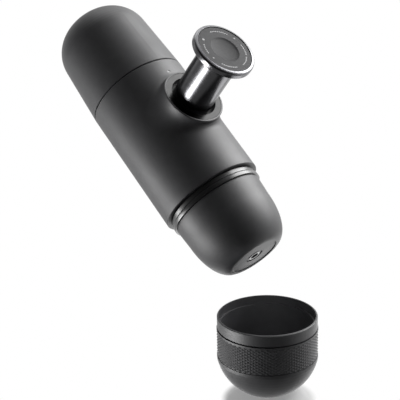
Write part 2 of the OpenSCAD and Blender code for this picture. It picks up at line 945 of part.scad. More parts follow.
module cup() {
    bowl_angle = asin((bowl_depth + bowl_shoulder - bowl_centre) / bowl_r);
    foot_angle = asin((cup_h - bowl_centre) / bowl_r);
    bowl_in = bowl_r - cup_wall;
    floor_depth = cup_h - cup_wall;
    floor_angle = asin((floor_depth - bowl_centre) / bowl_in);
    in_r = cup_r - cup_wall;
    color("#3a3a3c")
        translate([cup_x, 0, -cup_drop])
            mirror([0, 0, 1])
                difference() {
                    rotate_extrude()
                        polygon(concat(
                            [[0, 0], [cup_edge_r - cup_lip_edge, 0], [cup_edge_r, cup_lip_edge],
                             [cup_edge_r, cup_rim_h], [cup_r - cup_groove_depth, cup_rim_h],
                             [cup_r - cup_groove_depth, grip_low], [cup_r, grip_low],
                             [cup_r, grip_low + grip_land], [cup_r - grip_sink, grip_low + grip_land],
                             [cup_r - grip_sink, bowl_depth - grip_land], [cup_r, bowl_depth - grip_land],
                             [cup_r, bowl_depth]],
                            arc(0, bowl_centre, bowl_r, bowl_angle, foot_angle, 12),
                            [[0, cup_h]]
                        ));
                    rotate_extrude()
                        polygon(concat(
                            [[0, -past], [in_r + cup_step_w, -past], [in_r + cup_step_w, cup_step_depth],
                             [in_r, cup_step_depth]],
                            arc(0, bowl_centre, bowl_in, acos(in_r / bowl_in), floor_angle, 12),
                            [[0, floor_depth]]
                        ));
                }
}

main_body();
collar_face();
vent_plug();
pump_housing();
guide_bush();
wiper_seal();
lock_ring();
pump_cylinder();
tank_deck();
tank_seal();
inlet_tube();
inlet_valve();
outlet_tube();
outlet_valve();
brew_deck();
shower_plate();
brew_gasket();
piston_rod();
piston_head();
piston_seal();
return_spring();
barrel();
button_bezel();
dial_insert();
water_tank();
filter_adapter();
filter_basket();
neck_seal();
outlet_head();
head_ring();
outlet_screen();
spout_nozzle();
cup();
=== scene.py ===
"""Looks of the handheld manual espresso maker and its cup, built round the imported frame."""

import math

import bpy
from mathutils import Matrix, Vector


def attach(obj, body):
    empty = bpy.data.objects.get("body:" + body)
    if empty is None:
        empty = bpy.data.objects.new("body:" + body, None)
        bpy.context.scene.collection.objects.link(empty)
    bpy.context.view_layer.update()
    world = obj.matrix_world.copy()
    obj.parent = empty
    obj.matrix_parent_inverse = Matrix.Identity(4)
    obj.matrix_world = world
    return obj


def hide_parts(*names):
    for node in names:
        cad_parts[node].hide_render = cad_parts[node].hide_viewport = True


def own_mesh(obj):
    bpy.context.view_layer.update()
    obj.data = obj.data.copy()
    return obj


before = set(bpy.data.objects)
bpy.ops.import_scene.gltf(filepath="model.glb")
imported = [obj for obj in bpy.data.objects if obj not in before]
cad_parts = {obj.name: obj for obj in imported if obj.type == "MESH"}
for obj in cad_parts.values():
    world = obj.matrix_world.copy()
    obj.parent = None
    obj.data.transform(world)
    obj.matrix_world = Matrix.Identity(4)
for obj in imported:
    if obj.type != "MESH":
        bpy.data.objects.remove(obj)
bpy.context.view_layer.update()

# ---------------------------------------------------------------- sizes, in millimetres
MM = 0.001

# How far the body's axis dips below level, in degrees, and the turn that tips the upright maker to it
BODY_DIP = 40.7
TIP = math.radians(BODY_DIP - 90)

# Where the cup and the floor are in the shared frame
CUP_X = 76.3
CUP_RIM_Z = -90.1
FLOOR_Z = -135.4

# Heights count from the pump's axis on the body and its two ends, and from the body's axis on the pump
BODY_R = 30
BORE_R = 26.3
CHAMBER_R = 27.6
COLLAR_R = 18.1
COLLAR_TOP = 34.3
BLEND_TOP = 32.3
MOUTH_R = 16.95
VENT_R = 0.95
VENT_Z = 22.8
BUTTON_R = 18
DIAL_R = 16
DIAL_FACE = 72.3
DIAL_SEAT = 70.2

# The maker is drawn upright with its tank on top and its pump towards +X, and then tipped
HELD = Matrix.Rotation(TIP, 4, "Y")
ALONG_PUMP = HELD @ Matrix.Rotation(math.pi / 2, 4, "Y")
AT_CUP = Matrix.Translation((CUP_X * MM, 0, CUP_RIM_Z * MM))


# ---------------------------------------------------------------- modelling

def deselect():
    """Leaves nothing selected and no object in edit mode."""
    if bpy.context.object and bpy.context.object.mode != "OBJECT":
        bpy.ops.object.mode_set(mode="OBJECT")
    bpy.ops.object.select_all(action="DESELECT")


def choose(piece):
    """Leaves one piece selected and active, in object mode."""
    deselect()
    piece.select_set(True)
    bpy.context.view_layer.objects.active = piece


def start(primitive, name, **settings):
    """Adds a primitive under a name and leaves it in edit mode with nothing selected."""
    deselect()
    getattr(bpy.ops.mesh, "primitive_" + primitive + "_add")(**settings)
    piece = bpy.context.object
    piece.name = piece.data.name = name
    bpy.ops.object.mode_set(mode="EDIT")
    bpy.ops.mesh.select_all(action="DESELECT")
    return piece


def pick(piece, kind, rule):
    """In edit mode, selects the vertices, edges or faces that a rule keeps."""
    bpy.ops.mesh.select_mode(type=kind)
    bpy.ops.mesh.select_all(action="DESELECT")
    bpy.ops.object.mode_set(mode="OBJECT")
    mesh = piece.data
    items = {"VERT": mesh.vertices, "EDGE": mesh.edges, "FACE": mesh.polygons}[kind]
    for item in items:
        item.select = bool(rule(item))
    bpy.ops.object.mode_set(mode="EDIT")


def pick_open_edges():
    """In edit mode, selects the edges of the open ends."""
    bpy.ops.mesh.select_all(action="DESELECT")
    bpy.ops.mesh.select_non_manifold()


def face_outwards():
    """In edit mode, turns every face outwards."""
    bpy.ops.mesh.select_all(action="SELECT")
    bpy.ops.mesh.normals_make_consistent(inside=False)


def close_up():
    """Bridges the first and last rings of the piece in edit mode and turns its faces outwards."""
    bpy.ops.mesh.select_mode(type="EDGE")
    pick_open_edges()
    bpy.ops.mesh.bridge_edge_loops()
    face_outwards()


def place(piece, at):
    """Sets a piece down where it belongs, with its place in its mesh."""
    choose(piece)
    piece.matrix_world = at @ piece.matrix_world
    bpy.ops.object.transform_apply(location=True, rotation=True, scale=True)


def join(pieces, name):
    """Joins pieces into the first of them, under a new name."""
    deselect()
    for piece in pieces:
        piece.select_set(True)
    bpy.context.view_layer.objects.active = pieces[0]
    bpy.ops.object.join()
    pieces[0].name = pieces[0].data.name = name
    return pieces[0]


def cut(piece, cutter):
    """Takes a cutter out of a piece."""
    choose(piece)
    boolean = piece.modifiers.new("cut", "BOOLEAN")
    boolean.object = cutter
    bpy.ops.object.modifier_apply(modifier=boolean.name)
    bpy.data.objects.remove(cutter)


def smooth(piece, degrees):
    """Shades a piece smooth, with sharp edges above an angle."""
    choose(piece)
    bpy.ops.object.shade_smooth_by_angle(angle=math.radians(degrees))


def dress(piece, body, finish):
    """Gives a piece its body and its material."""
    piece.data.materials.clear()
    piece.data.materials.append(finish)
    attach(piece, body)


def widen(share, share_y=None):
    """In edit mode, widens what is selected about the Z axis, in Y by its own share where it has one."""
    bpy.ops.transform.resize(value=(share, share_y or share, 1), center_override=(0, 0, 0))


def arc(x, y, radius, first, last, steps):
    """Points of an arc about (x, y), between two angles in degrees."""
    angles = [math.radians(first + (last - first) * i / steps) for i in range(steps + 1)]
    return [(x + radius * math.cos(a), y + radius * math.sin(a)) for a in angles]


def turned(name, outline, sides):
    """Turns an outline of (radius, height) about Z, ring by ring, and leaves its last ring selected."""
    radius, height = outline[0]
    piece = start("circle", name, vertices=sides, radius=radius * MM, location=(0, 0, height * MM))
    bpy.ops.mesh.select_all(action="SELECT")
    for next_radius, next_height in outline[1:]:
        bpy.ops.mesh.extrude_edges_move(
            TRANSFORM_OT_translate={"value": (0, 0, (next_height - height) * MM)})
        widen(next_radius / radius)
        radius, height = next_radius, next_height
    return piece


# ---------------------------------------------------------------- materials

def colour(hex_value):
    """Linear colour of an sRGB hex value."""
    parts = [int(hex_value[i:i + 2], 16) / 255 for i in (1, 3, 5)]
    return tuple(c / 12.92 if c <= 0.04045 else ((c + 0.055) / 1.055) ** 2.4 for c in parts) + (1,)


def add(tree, kind, inputs=None, **settings):
    """Adds a node; each input gets a value, or the socket that feeds it."""
    node = tree.nodes.new("ShaderNode" + kind)
    for name, value in settings.items():
        setattr(node, name, value)
    for name, value in (inputs or {}).items():
        if isinstance(value, bpy.types.NodeSocket):
            tree.links.new(value, node.inputs[name])
        else:
            node.inputs[name].default_value = value
    return node


def material(name):
    """A new material with an empty tree, and the coordinates that its patterns use."""
    new = bpy.data.materials.new(name)
    new.use_nodes = True
    new.node_tree.nodes.clear()
    tree = new.node_tree
    return new, tree, add(tree, "TexCoord").outputs["Object"]


def noise(tree, where, size_mm, detail=2.0, roughness=0.5):
    """Noise whose lumps are about size_mm across."""
    node = add(tree, "TexNoise", {"Vector": where, "Scale": 1 / (size_mm * MM), "Detail": detail,
                                  "Roughness": roughness})
    return node.outputs["Fac"]


def stretched(tree, where, scale, turn=0):
    """Coordinates that draw a pattern out along an axis, after a turn about Y."""
    return add(tree, "Mapping", {"Vector": where, "Rotation": (0, turn, 0), "Scale": scale},
               vector_type="POINT").outputs["Vector"]


def spread(tree, value, low, high):
    """Takes a pattern's 0.3 to 0.7 to a range of its own."""
    return add(tree, "MapRange", {"Value": value, "From Min": 0.3, "From Max": 0.7,
                                  "To Min": low, "To Max": high}).outputs["Result"]


def ramp(tree, value, low, high, first, last):
    """Runs softly from first to last as a value goes from low to high."""
    return add(tree, "MapRange", {"Value": value, "From Min": low, "From Max": high, "To Min": first,
                                  "To Max": last}, interpolation_type="SMOOTHSTEP").outputs["Result"]


def both(tree, operation, first, second):
    """One number from two."""
    return add(tree, "Math", {0: first, 1: second}, operation=operation).outputs[0]


def tint(tree, value, first, second):
    """Runs between two colours by a value."""
    blend = add(tree, "ValToRGB", {"Fac": value})
    blend.color_ramp.elements[0].position = 0.3
    blend.color_ramp.elements[0].color = colour(first)
    blend.color_ramp.elements[1].position = 0.7
    blend.color_ramp.elements[1].color = colour(second)
    return blend.outputs["Color"]


def relief(tree, height, depth_mm):
    """Bump of a real depth."""
    return add(tree, "Bump", {"Height": height, "Distance": depth_mm * MM,
                              "Strength": 1.0}).outputs["Normal"]


def surface(tree, inputs):
    """Ends a material in one shader."""
    shader = add(tree, "BsdfPrincipled", inputs)
    add(tree, "OutputMaterial", {"Surface": shader.outputs["BSDF"]})


def moulded_abs(name, dark, light, gloss_low, gloss_high, grain_mm, depth_mm):
    """ABS from a spark-eroded mould: fine even grain, a soft sheen and a faint change of gloss."""
    new, tree, where = material(name)
    handled = noise(tree, where, 24, 2)
    grain = noise(tree, where, grain_mm, 3, 0.6)
    gloss = spread(tree, handled, gloss_low, gloss_high)
    surface(tree, {
        "Base Color": tint(tree, noise(tree, where, 5, 3), dark, light),
        "Roughness": both(tree, "ADD", gloss, spread(tree, grain, -0.02, 0.02)), "IOR": 1.53,
        "Normal": relief(tree, grain, depth_mm),
    })
    return new


def rubber():
    """Moulded nitrile rubber: matt, soft sheen, slightly dusty in random patches."""
    new, tree, where = material("nitrile_rubber_moulded")
    grain = noise(tree, where, 0.4, 4, 0.65)
    surface(tree, {
        "Base Color": tint(tree, noise(tree, where, 2, 3), "#131313", "#1c1c1c"),
        "Roughness": spread(tree, grain, 0.62, 0.78), "IOR": 1.52,
        "Sheen Weight": 0.15, "Sheen Roughness": 0.5,
        "Normal": relief(tree, grain, 0.01),
    })
    return new


def silicone():
    """Cast platinum silicone: milky, with light going a little way in."""
    new, tree, where = material("silicone_cast_milky")
    surface(tree, {
        "Base Color": tint(tree, noise(tree, where, 3, 2), "#c9c8c2", "#d6d5d0"),
        "Roughness": spread(tree, noise(tree, where, 1.5, 3), 0.4, 0.5), "IOR": 1.41,
        "Subsurface Weight": 0.3, "Subsurface Scale": 0.002,
        "Normal": relief(tree, noise(tree, where, 0.6, 2), 0.003),
    })
    return new


def acetal():
    """Turned acetal: waxy off-white grey, with faint marks of the lathe."""
    new, tree, where = material("acetal_turned")
    surface(tree, {
        "Base Color": tint(tree, noise(tree, where, 4, 2), "#85858a", "#919195"),
        "Roughness": spread(tree, noise(tree, where, 0.8, 3), 0.34, 0.44), "IOR": 1.48,
        "Subsurface Weight": 0.1, "Subsurface Scale": 0.001,
        "Normal": relief(tree, noise(tree, where, 0.5, 2), 0.004),
    })
    return new


def chrome():
    """Chrome plate over polished metal: a clear mirror, with hairlines from wiping and a thin haze."""
    new, tree, where = material("chrome_plated_polished")
    along = stretched(tree, where, (0.05, 1, 1), -TIP)
    hair = noise(tree, along, 0.25, 3, 0.6)
    haze = noise(tree, where, 6, 4, 0.6)
    surface(tree, {
        "Base Color": tint(tree, haze, "#616163", "#676769"),
        "Metallic": 1.0,
        "Roughness": spread(tree, haze, 0.21, 0.27),
        "Normal": relief(tree, hair, 0.0006),
    })
    return new


def turned_steel():
    """Stainless steel bar, turned: fine rings across its length and a clean cool colour."""
    new, tree, where = material("stainless_steel_turned")
    rings = stretched(tree, where, (1, 0.04, 0.04), -TIP)
    lines = noise(tree, rings, 0.3, 3, 0.6)
    surface(tree, {
        "Base Color": tint(tree, lines, "#a9abac", "#bcbebf"),
        "Metallic": 1.0,
        "Roughness": spread(tree, lines, 0.2, 0.32),
        "Normal": relief(tree, lines, 0.002),
    })
    return new


def sheet_steel():
    """Stainless steel sheet, rolled and tumbled: satin with a faint grain in one direction."""
    new, tree, where = material("stainless_steel_sheet_satin")
    rolled = stretched(tree, where, (1, 0.08, 1))
    grain = noise(tree, rolled, 0.3, 4, 0.6)
    surface(tree, {
        "Base Color": tint(tree, noise(tree, where, 8, 2), "#b3b4b5", "#c2c3c4"),
        "Metallic": 1.0,
        "Roughness": spread(tree, grain, 0.26, 0.38),
        "Normal": relief(tree, grain, 0.002),
    })
    return new


def dial_plastic():
    """Moulded polycarbonate dial: dark grey, even and semi-matt, with a fine sparkle in the grain."""
    new, tree, where = material("polycarbonate_moulded_dial")
    grain = noise(tree, where, 0.4, 3, 0.6)
    surface(tree, {
        "Base Color": tint(tree, noise(tree, where, 3, 3), "#1b1b1d", "#202022"),
        "Roughness": spread(tree, grain, 0.5, 0.58), "IOR": 1.5, "Specular IOR Level": 0.14,
        "Normal": relief(tree, grain, 0.005),
    })
    return new


def anodised_aluminium():
    """Anodised aluminium, diamond turned: dark grey metal with a clean mirror of what stands on it."""
    new, tree, where = material("aluminium_anodised_turned")
    fine = noise(tree, where, 0.5, 3, 0.6)
    surface(tree, {
        "Base Color": tint(tree, noise(tree, where, 4, 2), "#191919", "#1d1d1d"),
        "Metallic": 1.0,
        "Roughness": spread(tree, fine, 0.18, 0.25),
        "Normal": relief(tree, fine, 0.002),
    })
    return new


def pad_ink():
    """Pad-printed ink: grey, thin and slightly uneven at its edges."""
    new, tree, where = material("pad_printed_ink_pale")
    surface(tree, {
        "Base Color": tint(tree, noise(tree, where, 0.5, 3), "#626264", "#707072"),
        "Roughness": spread(tree, noise(tree, where, 0.4, 2), 0.4, 0.5),
        "Normal": relief(tree, noise(tree, where, 0.3, 2), 0.003),
    })
    return new


# ABS, injection moulded in a spark-eroded tool: the real grain is about 0.08 mm, which is too fine to
# show, so it is drawn at 0.35 mm
SATIN_ABS = moulded_abs("abs_moulded_satin_charcoal", "#242426", "#29292b", 0.5, 0.56, 0.35, 0.004)
# The same ABS on the cup, from a slightly coarser tool
CUP_ABS = moulded_abs("abs_moulded_satin_cup", "#252527", "#2a2a2c", 0.5, 0.56, 0.4, 0.006)
# ABS from a polished tool: near-black bands with a clear sheen and hardly any grain
POLISHED_ABS = moulded_abs("abs_moulded_polished_black", "#111112", "#151516", 0.27, 0.33, 1.2, 0.002)
# Inner mouldings of the deck and housing: plain moulded ABS with a dull surface
INNER_ABS = moulded_abs("abs_moulded_inner_grey", "#3b3b3d", "#424245", 0.48, 0.56, 0.5, 0.008)
CHROME = chrome()
TURNED_STEEL = turned_steel()
SHEET_STEEL = sheet_steel()
RUBBER = rubber()
SILICONE = silicone()
ACETAL = acetal()
DIAL_PLASTIC = dial_plastic()
ALUMINIUM = anodised_aluminium()
INK = pad_ink()

FINISHES = {
    SATIN_ABS: ["main_body", "water_tank", "outlet_head"],
    CUP_ABS: ["cup"],
    POLISHED_ABS: ["filter_adapter", "head_ring", "spout_nozzle", "vent_plug"],
    ALUMINIUM: ["collar_face"],
    INNER_ABS: ["pump_housing", "tank_deck", "brew_deck", "piston_head"],
    ACETAL: ["guide_bush", "lock_ring", "inlet_tube", "outlet_tube"],
    RUBBER: ["wiper_seal", "piston_seal"],
    SILICONE: ["tank_seal", "neck_seal", "brew_gasket", "inlet_valve", "outlet_valve"],
    TURNED_STEEL: ["piston_rod", "pump_cylinder", "return_spring"],
    SHEET_STEEL: ["filter_basket", "shower_plate", "outlet_screen"],
    CHROME: ["barrel", "button_bezel"],
    DIAL_PLASTIC: ["dial_insert"],
}


def finish_nodes():
    """Gives every solid of the frame its material."""
    for finish, nodes in FINISHES.items():
        for name in nodes:
            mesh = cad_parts[name].data
            mesh.materials.clear()
            mesh.materials.append(finish)


# ---------------------------------------------------------------- body

def body_tube():
    """The body's wall: a turned tube with a rounded lip, open where the pump and the vent plug go in."""
    lip_z, lip_round = -46.5, 0.6
    seam_z, seam_bevel = 32.1, 0.5
    chamber_low = -32
    row_low, row_pitch, rows = -45, 3.19, 24
    outline = ([(BORE_R, lip_z)] + arc(BODY_R - lip_round, lip_z + lip_round, lip_round, -90, 0, 5)
               + [(BODY_R, row_low + row_pitch * (i + 1)) for i in range(rows)]
               + [(BODY_R - seam_bevel, seam_z), (CHAMBER_R, seam_z)]
               + [(CHAMBER_R, chamber_low), (BORE_R, chamber_low)])
    tube = turned("body_tube", outline, 192)
    close_up()
    place(tube, Matrix.Identity(4))
    # Each opening has its radius, its cutter's length, and where the cutter's middle lies
    for radius, length, x, z in ((MOUTH_R, 30, 27, 0), (VENT_R, 3, BODY_R, VENT_Z)):
        cutter = start("cylinder", "cutter", vertices=64, radius=radius * MM, depth=length * MM,
                       location=(x * MM, 0, z * MM), rotation=(0, math.pi / 2, 0))
        place(cutter, Matrix.Identity(4))
        cut(tube, cutter)
    place(tube, HELD)
    return tube


def drape_on_body(piece, group):
    """Lays a piece that is drawn along the pump's axis on the body's skin, as far as its group weighs."""
    form_r, form_length = BODY_R + 0.012, 80
    form = start("cylinder", "form", vertices=720, radius=form_r * MM, depth=form_length * MM,
                 rotation=(0, math.pi / 2, 0))
    place(form, Matrix.Identity(4))
    place(piece, Matrix.Identity(4))
    wrap = piece.modifiers.new("drape", "SHRINKWRAP")
    wrap.target = form
    wrap.wrap_method = "PROJECT"
    wrap.use_project_z = True
    wrap.use_negative_direction = True
    wrap.use_positive_direction = False
    wrap.vertex_group = group.name
    bpy.ops.object.modifier_apply(modifier=wrap.name)
    bpy.data.objects.remove(form)
    piece.vertex_groups.clear()


def collar_flare():
    """The collar and the blend that runs out onto the body: each ring lies partly on the body's curve."""
    sides, steps = 160, 16
    mouth_low, mouth_bevel = 26, 0.2
    edge_round, wall_ring = 0.5, 33
    run_along, run_across = 3.4, 6.3
    fall, tuck = 1.85, 1
    outline = ([(MOUTH_R, mouth_low), (MOUTH_R, COLLAR_TOP - mouth_bevel)]
               + [(MOUTH_R + mouth_bevel, COLLAR_TOP)]
               + arc(COLLAR_R - edge_round, COLLAR_TOP - edge_round, edge_round, 90, 0, 5)
               + [(COLLAR_R, wall_ring), (COLLAR_R, BLEND_TOP)])
    collar = turned("collar_flare", outline, sides)
    drape = collar.vertex_groups.new(name="drape")
    reach = (COLLAR_R, COLLAR_R)
    weights = []
    for i in range(1, steps + 2):
        run = i / steps
        wide = (COLLAR_R + run_along * run ** 2, COLLAR_R + run_across * run ** 2)
        bpy.ops.mesh.extrude_edges_move()
        widen(wide[0] / reach[0], wide[1] / reach[1])
        reach = wide
        weights.append(1 - max(0, 1 - run) ** fall)
    bpy.ops.object.mode_set(mode="OBJECT")
    for i, weight in enumerate(weights):
        first = (len(outline) + i) * sides
        drape.add(list(range(first, first + sides)), weight, "REPLACE")
    drape_on_body(collar, drape)
    # The blend's edge is tucked into the wall under it
    last = (len(outline) + steps) * sides
    bpy.ops.object.mode_set(mode="EDIT")
    pick(collar, "EDGE", lambda edge: min(edge.vertices) >= last)
    bpy.ops.mesh.extrude_edges_move(TRANSFORM_OT_translate={"value": (0, 0, -tuck * MM)})
    close_up()
    place(collar, ALONG_PUMP)
    return collar


def body_shell():
    """The moulded body: its tube and its collar with the blend, as one piece with a smooth skin."""
    tube = body_tube()
    collar = collar_flare()
    piece = join([tube, collar], "body_shell")
    smooth(piece, 32)
    dress(piece, "main", SATIN_ABS)
    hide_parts("main_body")


# ---------------------------------------------------------------- outlet head and its ring

def head_shell():
    """The outlet head: its dome closes evenly on a flat end with a rounded rim and a sunk face."""
    neck_in_r, neck_r, neck_top = 22.1, 23.5, -38.2
    shoulder_r, shoulder_z, shoulder_round = 27.3, -52.3, 0.3
    skirt_steps, dome_steps = 5, 36
    dome_r, dome_top, dome_reach = 26.6, -64, 11.7
    flat_z, rim_in_r, rim_round = -88.9, 14.2, 0.25
    face_z, seat_r, seat_z, bore_r = -88.4, 5.3, -88, 3.8
    floor_r, floor_z = 12.5, -86
    ledge_r, ledge_top, ledge_low, ledge_foot = 20.4, -55.2, -57.2, -58.2

    shoulder_low = shoulder_z - shoulder_round
    skirt = [(shoulder_r + (dome_r - shoulder_r) * i / skirt_steps,
              shoulder_low + (dome_top - shoulder_low) * i / skirt_steps)
             for i in range(1, skirt_steps + 1)]
    quarter = [math.pi / 2 * i / dome_steps for i in range(1, dome_steps + 1)]
    dome = [(dome_r - dome_reach + dome_reach * math.cos(a), dome_top + (flat_z - dome_top) * math.sin(a))
            for a in quarter]
    hollow = [(floor_r + dome_reach * math.sin(a), floor_z + (dome_top - floor_z) * (1 - math.cos(a)))
              for a in quarter[::3]]
    outline = ([(neck_in_r, neck_top), (neck_r, neck_top), (neck_r, shoulder_z)]
               + arc(shoulder_r - shoulder_round, shoulder_low, shoulder_round, 90, 0, 4)
               + skirt + dome
               + arc(rim_in_r + rim_round, flat_z + rim_round, rim_round, -90, -180, 4)
               + [(rim_in_r, face_z), (seat_r, face_z), (seat_r, seat_z), (bore_r, seat_z)]
               + [(bore_r, floor_z), (floor_r, floor_z)] + hollow
               + [(floor_r + dome_reach, ledge_foot), (ledge_r, ledge_low), (ledge_r, ledge_top)]
               + [(neck_in_r, ledge_top)])
    piece = turned("head_shell", outline, 144)
    close_up()
    place(piece, HELD)
    smooth(piece, 30)
    dress(piece, "head", SATIN_ABS)
    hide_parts("outlet_head")


def ring_band():
    """The polished band between the head and the body, with a full round towards the body."""
    in_r, out_r, top, low = 23.55, 28.3, -49.6, -52.3
    top_round, low_round = 0.7, 0.3
    outline = ([(in_r, top)] + arc(out_r - top_round, top - top_round, top_round, 90, 0, 6)
               + arc(out_r - low_round, low + low_round, low_round, 0, -90, 4) + [(in_r, low)])
    piece = turned("ring_band", outline, 144)
    close_up()
    place(piece, HELD)
    smooth(piece, 30)
    dress(piece, "head", POLISHED_ABS)
    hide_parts("head_ring")


# ---------------------------------------------------------------- wound pieces: spring and threads

def coil(name, radius, wire_r, low, pitch, turns, sides, steps, closed=0.0):
    """A wire wound round the Z axis; closed turns at each end lie against each other."""
    piece = start("circle", name, vertices=sides, radius=wire_r * MM, location=(radius * MM, 0, low * MM),
                  rotation=(math.pi / 2, 0, 0))
    place(piece, Matrix.Identity(4))
    screw = piece.modifiers.new("wind", "SCREW")
    screw.axis = "Z"
    screw.angle = 2 * math.pi * turns
    screw.screw_offset = pitch * turns * MM
    screw.steps = screw.render_steps = round(steps * turns)
    screw.use_merge_vertices = False
    bpy.ops.object.modifier_apply(modifier=screw.name)
    if closed:
        # The end turns' pitch is just over the wire's thickness, and the middle takes up the rest
        tight = 2.1 * wire_r
        middle = (pitch * turns - 2 * closed * tight) / (turns - 2 * closed)
        for vertex in piece.data.vertices:
            turn = (vertex.index // sides) / steps
            wound = (tight * min(turn, closed) + middle * max(0, min(turn, turns - closed) - closed)
                     + tight * max(0, turn - turns + closed))
            vertex.co.z += (wound - pitch * turn) * MM
    bpy.ops.object.mode_set(mode="EDIT")
    bpy.ops.mesh.select_mode(type="VERT")
    pick_open_edges()
    bpy.ops.mesh.fill_holes(sides=sides)
    face_outwards()
    return piece


def coil_spring():
    """Return spring: 1.1 mm wire between the cylinder's flange and the button, nine turns."""
    radius, wire_r, turns = 9.15, 0.55, 9
    low, high = 22.65, 66.05
    piece = coil("coil_spring", radius, wire_r, low, (high - low) / turns, turns, 14, 32, closed=0.9)
    place(piece, ALONG_PUMP)
    smooth(piece, 50)
    dress(piece, "plunger", TURNED_STEEL)
    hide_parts("return_spring")
    # The pump's stroke leaves 0.265 of the spring's length between the flange and the button
    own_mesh(piece)


def neck_threads():
    """The threads that the tank and the outlet head screw on."""
    ridge_r, pitch = 0.55, 2.6
    for name, body, radius, low, turns, slot, finish in (
        ("tank_neck_thread", "main", 26.15, 32.4, 2.4, "inner_plastic", INNER_ABS),
        ("head_neck_thread", "head", 23.45, -47.6, 2.8, "satin_plastic", SATIN_ABS),
    ):
        thread = coil(name, radius, ridge_r, low, pitch, turns, 8, 72)
        place(thread, HELD)
        smooth(thread, 60)
        dress(thread, body, finish)


# ---------------------------------------------------------------- knurled grip of the cup

def cup_knurl():
    """Diamond knurl in the cup's sunk band: 9 rows of diamonds, each 3.2 mm wide and 1.7 mm high."""
    columns, half_rows = 112, 18
    # Depths below the cup's rim
    top, low = 8.0, 23.4
    low_r, high_r, root_r = 27.97, 28.29, 27.4
    height = low - top
    piece = start("cylinder", "cup_knurl", vertices=columns, radius=low_r * MM, depth=height * MM,
                  end_fill_type="NOTHING", location=(0, 0, -(top + low) / 2 * MM))
    place(piece, Matrix.Identity(4))
    bpy.ops.object.mode_set(mode="EDIT")

    def upright(edge):
        a, b = (piece.data.vertices[i].co for i in edge.vertices)
        return abs(a.z - b.z) > 0.1 * MM

    def row(vertex):
        return round((vertex.co.z / MM + low) / height * half_rows)

    def column(vertex):
        return round(math.atan2(vertex.co.y, vertex.co.x) / (2 * math.pi) * columns)

    def odd(vertex):
        return (row(vertex) + column(vertex)) % 2

    pick(piece, "EDGE", upright)
    bpy.ops.mesh.subdivide(number_cuts=half_rows - 1)
    # Grooves run along the diagonals between the vertices that stay low
    pick(piece, "VERT", odd)
    bpy.ops.mesh.vert_connect()
    pick(piece, "VERT", lambda vertex: not odd(vertex) and 0 < row(vertex) < half_rows)
    widen(high_r / low_r)
    # The band is closed towards the cup's wall
    pick(piece, "VERT", lambda vertex: row(vertex) in (0, half_rows))
    bpy.ops.mesh.extrude_edges_move()
    widen(root_r / low_r)
    bpy.ops.mesh.bridge_edge_loops()
    bpy.ops.mesh.select_all(action="SELECT")
    bpy.ops.mesh.remove_doubles(threshold=0.001 * MM)
    face_outwards()
    place(piece, AT_CUP)
    dress(piece, "cup", CUP_ABS)


# ---------------------------------------------------------------- button: rim, dial and marks

def bezel_rim():
    """The button's rim: a short straight side between two rounds, and a narrow land on top."""
    low, high, in_r, ledge_r = 68.3, 72.65, 16.05, 14.8
    low_round, high_round, round_sink = 1, 1.25, 0.2
    land_out, land_in, land_drop, inner_bevel = 0.55, 0.1, 0.1, 0.12
    outline = ([(ledge_r, low)] + arc(BUTTON_R - low_round, low + low_round, low_round, -90, 0, 8)
               + arc(BUTTON_R - high_round, high - high_round - round_sink, high_round, 0, 72, 10)
               + [(in_r + land_out, high - land_drop), (in_r + land_in, high), (in_r, high - inner_bevel)]
               + [(in_r, DIAL_SEAT), (ledge_r, DIAL_SEAT)])
    piece = turned("bezel_rim", outline, 144)
    close_up()
    place(piece, ALONG_PUMP)
    smooth(piece, 22)
    dress(piece, "knob", CHROME)
    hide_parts("button_bezel")


def dial_face():
    """The button's dial: a turned disc with a crisp bevel round its shallow finger dish."""
    seat_in_r, edge_bevel = 15, 0.2
    lip_r, bevel_r, bevel_deep = 8.7, 8.5, 0.06
    dish_r, dish_edge, dish_deep, dish_steps = 7.8, 0.4, 0.8, 10
    sphere_r = (dish_r ** 2 + dish_deep ** 2) / (2 * dish_deep)
    dish_low = DIAL_FACE - dish_edge - dish_deep
    radii = [dish_r * (1 - i / dish_steps) for i in range(dish_steps)]
    dish = [(r, dish_low + sphere_r - math.sqrt(sphere_r ** 2 - r ** 2)) for r in radii]
    outline = ([(seat_in_r, DIAL_SEAT), (DIAL_R, DIAL_SEAT), (DIAL_R, DIAL_FACE - edge_bevel)]
               + [(DIAL_R - edge_bevel, DIAL_FACE), (lip_r, DIAL_FACE), (bevel_r, DIAL_FACE - bevel_deep)]
               + dish)
    piece = turned("dial_face", outline, 144)
    bpy.ops.mesh.merge(type="CENTER")
    pick_open_edges()
    bpy.ops.mesh.edge_face_add()
    face_outwards()
    place(piece, ALONG_PUMP)
    smooth(piece, 15)
    dress(piece, "knob", DIAL_PLASTIC)
    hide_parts("dial_insert")


def raised_mark(name, vertices, radius, long=1, wide=1):
    """A flat mark with a softened edge, centred at the height of the dial's face."""
    high, softening = 0.03, 0.02
    mark = start("cylinder", name, vertices=vertices, radius=radius * MM, depth=2 * high * MM,
                 location=(0, 0, DIAL_FACE * MM))
    pick(mark, "FACE", lambda face: face.normal.z > 0.9)
    bpy.ops.mesh.bevel(offset=softening * MM, segments=1, affect="EDGES")
    bpy.ops.object.mode_set(mode="OBJECT")
    mark.scale = (long, wide, 1)
    bpy.context.view_layer.update()
    return mark


def stamp(source, turn, reach):
    """A copy of a mark on the dial, at an angle in degrees from the side that faces the tank."""
    mark = source.copy()
    mark.data = source.data.copy()
    bpy.context.scene.collection.objects.link(mark)
    mark.matrix_world = (Matrix.Rotation(math.pi - math.radians(turn), 4, "Z")
                         @ Matrix.Translation((reach * MM, 0, 0)) @ source.matrix_world)
    return mark


